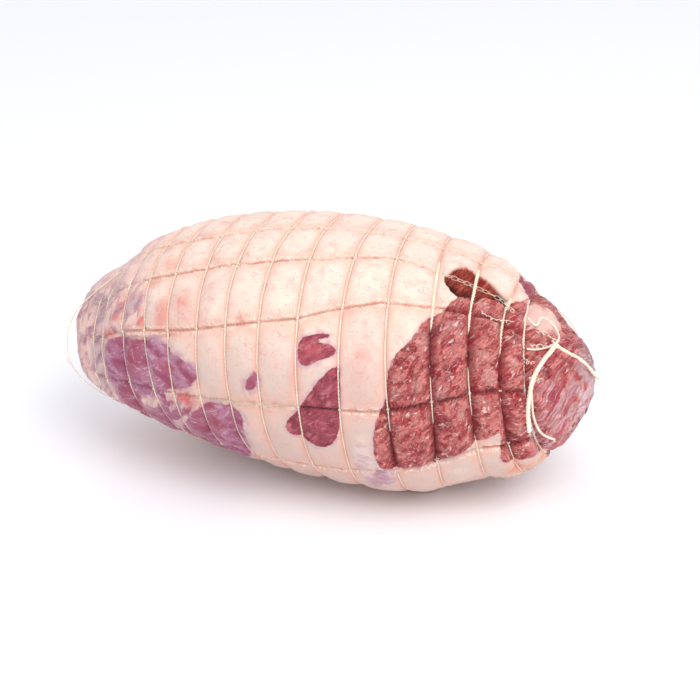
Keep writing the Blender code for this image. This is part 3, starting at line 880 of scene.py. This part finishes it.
# Geometry nodes that turn edges into twisted yarn: two plies round each other.
yarn, given = node_group("yarn", "Yarn", (
    ("Paths", "Geometry", None),
    ("Step", "Float", 0.00045),
    ("Twist", "Float", 0.0034),
    ("Groove", "Float", 0.22),
    ("Sides", "Int", 8),
    ("Material", "Material", None),
))
thickness = output(
    yarn, "GeometryNodeInputNamedAttribute", {"Name": "thickness"}, data_type="FLOAT",
)
line = output(yarn, "GeometryNodeMeshToCurve", {"Mesh": given["Paths"]})
line = output(
    yarn, "GeometryNodeResampleCurve", {"Curve": line, "Length": given["Step"]}, mode="LENGTH",
)
run = add(yarn, "GeometryNodeSplineParameter").outputs["Length"]
turns = maths(yarn, "DIVIDE", run, given["Twist"])
tilt = maths(yarn, "MULTIPLY", turns, 2 * np.pi)
line = output(yarn, "GeometryNodeSetCurveTilt", {"Curve": line, "Tilt": tilt})
profile = output(
    yarn, "GeometryNodeCurvePrimitiveCircle", {"Resolution": given["Sides"], "Radius": 0.5},
)
spot = output(yarn, "GeometryNodeInputPosition")
side = add(yarn, "ShaderNodeSeparateXYZ", {0: spot}).outputs
around = maths(yarn, "ARCTAN2", side["Y"], side["X"])
lobes = maths(yarn, "COSINE", maths(yarn, "MULTIPLY", around, 2.0))
lobes = maths(yarn, "MULTIPLY_ADD", lobes, given["Groove"], 1.0)
spot = scaled(yarn, spot, lobes)
profile = output(yarn, "GeometryNodeSetPosition", {"Geometry": profile, "Position": spot})
tube = output(
    yarn, "GeometryNodeCurveToMesh",
    {"Curve": line, "Profile Curve": profile, "Scale": thickness, "Fill Caps": True},
)
tube = output(yarn, "GeometryNodeSetShadeSmooth", {"Geometry": tube})
tube = output(yarn, "GeometryNodeRealizeInstances", {"Geometry": tube})
tube = output(yarn, "GeometryNodeSetMaterial", {"Geometry": tube, "Material": given["Material"]})
add(yarn, "NodeGroupOutput", {"Yarn": tube})


def grown(source, tree, **values):
    """Runs a geometry node tree on an object and keeps the result as its plain mesh."""
    modifier = source.modifiers.new(tree.name, "NODES")
    modifier.node_group = tree
    for item in tree.interface.items_tree:
        if item.in_out == "INPUT" and item.name in values:
            modifier[item.identifier] = values[item.name]
    source.update_tag()
    bpy.context.view_layer.update()
    evaluated = source.evaluated_get(bpy.context.evaluated_depsgraph_get())
    made = bpy.data.meshes.new_from_object(evaluated)
    source.modifiers.clear()
    source.data = made
    return source


# Undyed cotton yarn: dry, cream, a little fuzzy.
cotton, tree, shader = material("cotton_yarn")
where = in_mm()
tone = blotches(where, 6.0, detail=2)
fuzz = blotches(where, 0.25, detail=2)
shade = mix(ease(tone, 0.35, 0.65), "#F6E0CA", "#FDEFDF")
shade = mix(ease(fuzz, 0.45, 0.7, 0, 0.3), shade, "#EBCFB2")
bump = add(tree, "ShaderNodeBump", {"Height": fuzz, "Strength": 0.5, "Distance": 0.0002})
feed(tree, shader, {
    "Base Color": shade,
    "Normal": bump.outputs[0],
    "Roughness": 0.85,
    "Subsurface Weight": 0.2,
    "Subsurface Scale": 0.0008,
})

# Stretches where a hoop is hidden in the lean: hoop, from and to in degrees.
HIDDEN = (
    (11, 96, 118), (12, 47, 66), (12, 92, 112), (12, -12, 8), (13, 44, 60), (13, 88, 100),
    (13, -20, 2), (14, 50, 72), (14, 76, 104), (14, -30, 11), (15, -30, -12),
)
# Height of the meat under the threads, which span the open fold.
bed = np.where(open_fold > 0, np.maximum(height, -0.2), np.clip(height, -3.0, 3.0))
routes = []
for number, row in enumerate(hoop_rows, 1):
    turn = (degrees[row] + 180) % 360 - 180
    over_lean = ramp(58, 42, turn) * ramp(-6, 6, turn) * (number >= FIRST_LEAN_HOOP)
    buried = np.zeros(len(turn))
    for hoop, low, high in HIDDEN:
        if hoop == number:
            buried += ramp(low - 3, low + 2, turn) * ramp(high + 3, high - 2, turn)
    lift = evened(bed[row], HOOP_SMOOTHING, True) + HOOP_BED - HIDDEN_SINK * buried
    size = HOOP_THICKNESS + THICKER_IN_LEAN * over_lean + THICKER_LAST * (number == LAST_HOOP)
    size = evened(size * (1 - 0.35 * buried), 5, True)
    route = base[row] + lift[:, None] / 1000 * normal[row]
    routes.append((route, normal[row], size, True))
hoops = grown(path_mesh("net_hoops", routes), yarn, Material=cotton)
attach(hoops, "root")
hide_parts("net")


# The net's strands: twelve finer threads, knitted in chain stitch, that run the length of
# the roll and are tied round every hoop. They lie deep in the creases of the meat.

# Geometry nodes that repeat one stitch along a path, turned with the path and the surface.
chain, given = node_group("chain", "Chain", (
    ("Paths", "Geometry", None),
    ("Pitch", "Float", 0.0016),
    ("Swing", "Float", 0.3),
    ("Stitch", "Object", None),
    ("Material", "Material", None),
))
line = output(chain, "GeometryNodeMeshToCurve", {"Mesh": given["Paths"]})
line = output(
    chain, "GeometryNodeResampleCurve", {"Curve": line, "Length": given["Pitch"]}, mode="LENGTH",
)
out = output(
    chain, "GeometryNodeInputNamedAttribute", {"Name": "outward"}, data_type="FLOAT_VECTOR",
)
turned = output(
    chain, "FunctionNodeAxesToRotation",
    {"Primary Axis": output(chain, "GeometryNodeInputTangent"), "Secondary Axis": out},
    primary_axis="X", secondary_axis="Z",
)
swing = add(
    chain, "FunctionNodeRandomValue", {"Min": -1.0, "Max": 1.0, "Seed": 5}, data_type="FLOAT",
).outputs["Value"]
swing = maths(chain, "MULTIPLY", swing, given["Swing"])
swing = output(chain, "FunctionNodeAxisAngleToRotation", {"Axis": (1.0, 0.0, 0.0), "Angle": swing})
turned = output(
    chain, "FunctionNodeRotateRotation", {"Rotation": turned, "Rotate By": swing},
    rotation_space="LOCAL",
)
stitch = add(chain, "GeometryNodeObjectInfo", {"Object": given["Stitch"]}, transform_space="ORIGINAL")
placed = output(
    chain, "GeometryNodeInstanceOnPoints",
    {"Points": line, "Instance": stitch.outputs["Geometry"], "Rotation": turned},
)
placed = output(chain, "GeometryNodeRealizeInstances", {"Geometry": placed})
placed = output(
    chain, "GeometryNodeSetMaterial", {"Geometry": placed, "Material": given["Material"]},
)
add(chain, "NodeGroupOutput", {"Chain": placed})


def knitted(name, half_length, half_width, filament):
    """One stitch: a long loop, wider where the next stitch passes through it."""
    turn = np.linspace(0, 2 * np.pi, 16, endpoint=False)
    width = half_width * (1 - 0.35 * np.cos(turn))
    loop = np.stack([
        half_length * np.cos(turn), width * np.sin(turn), 0.00012 * np.cos(turn),
    ], axis=-1)
    source = path_mesh(name, [(loop, np.tile((0.0, 0.0, 1.0), (16, 1)), filament, True)])
    return grown(source, yarn, Material=cotton, Step=0.00042, Sides=4, Groove=0.0)


# One strand spans the open fold, from and to in metres, where its stitches are stretched.
# One lies on the shank muscle, and they sink into the windows. Heights in mm.
SPAN = (0.0575, 0.0835)
STRAND_BED, ON_MUSCLE_RISE, WINDOW_SINK = -0.08, 0.55, 1.2
STRAND_THICKNESS = 0.0005
routes, spans = [], []
netted = slice(hoop_rows[0], hoop_rows[-1] + 1)
for number, column in enumerate(strand_columns):
    at = mm[netted, column]
    shows = (number == WINDOW_STRAND) * ramp(-45, -30, at) * ramp(4, -2, at)
    lift = evened(bed[netted, column], 4, False) + STRAND_BED + ON_MUSCLE_RISE * shows
    lift = lift - WINDOW_SINK * ramp(-0.6, 0.6, window[netted, column])
    normals = normal[netted, column]
    points = base[netted, column] + lift[:, None] / 1000 * normals
    if number == FOLD_STRAND:
        first, last = np.searchsorted(points[:, 0], SPAN)
        spans.append((points[first:last], normals[first:last], STRAND_THICKNESS, False))
        routes.append((points[:first], normals[:first], STRAND_THICKNESS, False))
        routes.append((points[last:], normals[last:], STRAND_THICKNESS, False))
    else:
        routes.append((points, normals, STRAND_THICKNESS, False))
stitch = knitted("span_stitch", 0.0019, 0.00075, 0.0003)
stretched_part = grown(
    path_mesh("net_span", spans), chain, Stitch=stitch, Material=cotton, Pitch=0.0029, Swing=1.1,
)
bpy.data.objects.remove(stitch)
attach(stretched_part, "root")
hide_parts("net")
stitch = knitted("stitch", 0.00105, 0.00034, 0.00028)
strands = grown(path_mesh("net_strands", routes), chain, Stitch=stitch, Material=cotton)
bpy.data.objects.remove(stitch)
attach(strands, "root")
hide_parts("net")


# The net's ties: where a chain of stitches crosses a hoop it is knitted round it, which
# makes a small raised knot.

TIE_RADIUS, TIE_THICKNESS, TIE_LEAN = 0.00062, 0.00034, 0.5
routes = []
turn = np.linspace(0, 2 * np.pi, 12, endpoint=False)[:, None]
for row in hoop_rows:
    for column in strand_columns:
        up = normal[row, column]
        along = base[row, (column + 1) % base.shape[1]] - base[row, column]
        along = along / np.linalg.norm(along)
        across = np.cross(up, along)
        lift = (evened(bed[row], HOOP_SMOOTHING, True)[column] + HOOP_BED) / 1000
        for tilt in (-TIE_LEAN, TIE_LEAN):
            ring = np.cos(turn) * (across + tilt * along) + np.sin(turn) * up
            ring = base[row, column] + lift * up + TIE_RADIUS * ring
            routes.append((ring, np.tile(up, (12, 1)), TIE_THICKNESS, True))
ties = grown(
    path_mesh("net_ties", routes), yarn, Material=cotton, Step=0.0004, Sides=5, Groove=0.0,
)
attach(ties, "root")
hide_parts("net")


# The net's loose ends: at the broad end the net is gathered in a knot whose fluffy tails
# hang down, with stray loops of fine filament; at the shank end one thin loop stands off
# the meat.

# Points as x in mm, degrees and height in mm, with the thread's thickness in mm.
KNOT = (103, 23, 2.6)
TAIL_TIPS = ((118.6, 30, 5.2), (97.2, 91, 3.4), (107, 111, 2.4))
LOOSE = (
    (1.8, (KNOT, (107.6, 20, 2.6), (111.8, 19, 3.0), (115.8, 20, 3.2), (117.8, 24, 3.8),
           TAIL_TIPS[0])),
    (2.0, (KNOT, (102, 31, 2.8), (99.8, 42, 2.6), (97.4, 55, 2.4), (96.6, 66, 2.6),
           (96.4, 77, 2.9), TAIL_TIPS[1])),
    (1.15, ((97, 55, 1.2), (98, 69, 1.9), (99, 80, 1.9), (101.8, 94, 1.6), (104.8, 104, 1.6),
            TAIL_TIPS[2])),
    (1.1, ((92.2, 16, 0.3), (95.4, 18, 1.2), (96, 9, 1.8), (98.6, 4, 2.0), (102, 4, 2.2),
           (104, 11, 2.2), KNOT)),
    (0.9, ((94.2, 38, 0.3), (97, 36, 1.2), (100, 31, 2.0), KNOT)),
    (0.55, ((101, 18, 1.6), (105, 12, 1.5), (108, 4, 1.2), (109, -8, 1.2), (106, -16, 1.4))),
    (0.5, ((98, -25, 1), (98, -34, 2.0), (101, -37, 2.4), (104, -38, 3.4), (107.5, -39, 3),
           (109, -36, 3))),
    (0.5, ((-97, 18, 0), (-101, 23, 1), (-106.3, 28, 1.3), (-111.4, 37, 1.5), (-115.5, 46, 2.2),
           (-117.3, 58, 3.8), (-117.5, 74, 5.1), (-117, 91, 5.6), (-116.2, 106, 5.5),
           (-114.8, 117, 4.8), (-111.2, 127, 3), (-104.6, 132, 1.5), (-94.3, 131, 0))),
    (0.35, ((-114, 121, 3.8), (-116, 118, 5.2), (-117.5, 114, 7.0))),
)
# Filament that coils on itself: route, coil radius in mm, coils.
COILS = (
    (((74, 33, 1.0), (79, 34, 1.2), (84, 31, 1.2), (89, 26, 1.0)), 0.5, 8),
    (((82, 19, 1.0), (84, 22, 1.2), (86, 21, 1.2)), 0.9, 3),
    (((95, 36, 1.2), (98, 33, 2.2), (102, 27, 2.8)), 0.8, 4),
    (((96, 24, 1.4), (99, 20, 2.2), (103, 19, 2.8)), 0.7, 4),
    (((96.5, 58, 1.6), (98.5, 55, 2.0), (101, 56, 2.0)), 1.5, 2),
    (((94, 47, 1.2), (97, 46, 1.8)), 0.8, 2),
    (((95, 80, 1.2), (97, 84, 1.6)), 0.7, 2),
)
# Thicknesses and sizes in metres.
FILAMENT, FRAY, FRAY_REACH, FRAYS_EACH = 0.0003, 0.0002, 0.0015, 7
KNOT_SIZE, KNOT_THICKNESS = 0.00062, 0.0011


def along_points(points, count):
    """A smooth line through points given as x in mm, degrees and height in mm."""
    knots = np.arange(len(points), dtype=float)
    values = np.array(points, float)
    fine = np.linspace(0, knots[-1], count)
    x, deg, lift = (smooth_line(knots, values[:, k], fine) for k in range(3))
    return on_roll(x, deg, lift)


def on_roll(x, deg, lift):
    """Places and normals from x in mm, degrees and height in mm."""
    x, turn = np.array(x) / 1000, np.radians(deg)
    return place(x, turn, np.array(lift) / 1000), outward(x, turn)


routes = []
for size, points in LOOSE:
    line, up = along_points(points, 14 * len(points))
    routes.append((line, up, size / 1000, False))
for points, radius, coils in COILS:
    line, up = along_points(points, 16 * coils)
    along = np.gradient(line, axis=0)
    along /= np.linalg.norm(along, axis=1, keepdims=True)
    side = np.cross(up, along)
    turn = np.linspace(0, 2 * np.pi * coils, len(line))[:, None]
    wobble = 1 + 0.35 * np.sin(turn * 0.37 + coils)
    coil = 1.3 * np.sin(turn) * along + np.cos(turn) * side + 0.3 * np.cos(turn / 2) * up
    routes.append((line + radius / 1000 * wobble * coil, up, FILAMENT, False))
for tip in TAIL_TIPS:
    (start,), (up,) = on_roll(*zip(tip))
    for _ in range(FRAYS_EACH):
        bend = rng.normal(size=(2, 3)) * 0.9
        t = np.linspace(0, 1, 7)[:, None]
        line = start + FRAY_REACH * (t * (bend[0] + (0.4, -0.4, -1.4)) + t * t * bend[1])
        routes.append((line, np.tile(up, (7, 1)), FRAY * (1.2 - t[:, 0]), False))
# The knot itself: the thread passed round itself three times.
(middle,), (up,) = on_roll(*zip(KNOT))
side = np.cross(up, (1.0, 0.0, 0.0))
side /= np.linalg.norm(side)
along = np.cross(side, up)
turn = np.linspace(0, 2 * np.pi, 48, endpoint=False)[:, None]
knot = KNOT_SIZE * (
    (np.sin(turn) + 2 * np.sin(2 * turn)) * along * 1.15
    + (np.cos(turn) - 2 * np.cos(2 * turn)) * side * 0.8 - np.sin(3 * turn) * up
)
routes.append((middle + knot, np.tile(up, (48, 1)), KNOT_THICKNESS, True))
loose = grown(
    path_mesh("net_loose_ends", routes), yarn, Material=cotton, Step=0.0003, Groove=0.16,
)
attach(loose, "root")
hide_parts("net")


# The studio: a pale floor, a large soft light overhead and white surroundings.

floor_material, tree, shader = material("pale_floor")
feed(tree, shader, {"Base Color": colour("#FAFBFF"), "Roughness": 0.6})
floor_data = bpy.data.meshes.new("floor")
floor_data.from_pydata([(-3, -3, 0), (3, -3, 0), (3, 3, 0), (-3, 3, 0)], [], [(0, 1, 2, 3)])
floor_data.materials.append(floor_material)
floor = set_up("floor", floor_data)

world = bpy.data.worlds.new("white_room")
world.use_nodes = True
world.node_tree.nodes["Background"].inputs["Color"].default_value = (0.965, 0.972, 1.0, 1.0)
world.node_tree.nodes["Background"].inputs["Strength"].default_value = 0.93
bpy.context.scene.world = world

light = bpy.data.lights.new("overhead", "AREA")
light.shape = "SQUARE"
light.size = 0.9
light.energy = 9.0
light.color = colour("#FFFDF8")[:3]
overhead = set_up("overhead", light)
overhead.location = (0.6, -0.6, 1.0)
aim = Vector((0, 0, 0.05)) - overhead.location
overhead.rotation_euler = aim.to_track_quat("-Z", "Y").to_euler()

# The camera looks from the front, a little to the right and above.
AZIMUTH, ELEVATION, DISTANCE = np.radians(14.0), np.radians(24.0), 0.7618
back = Vector((
    np.sin(AZIMUTH) * np.cos(ELEVATION), -np.cos(AZIMUTH) * np.cos(ELEVATION), np.sin(ELEVATION),
))
camera = set_up("camera", bpy.data.cameras.new("camera"))
camera.data.lens = 85
camera.data.sensor_width = 36
camera.data.dof.use_dof = False
camera.location = Vector((0.0093, 0.0, 0.0563)) + back * DISTANCE
camera.rotation_euler = (-back).to_track_quat("-Z", "Y").to_euler()
bpy.context.scene.camera = camera
bpy.context.scene.view_settings.view_transform = "Standard"
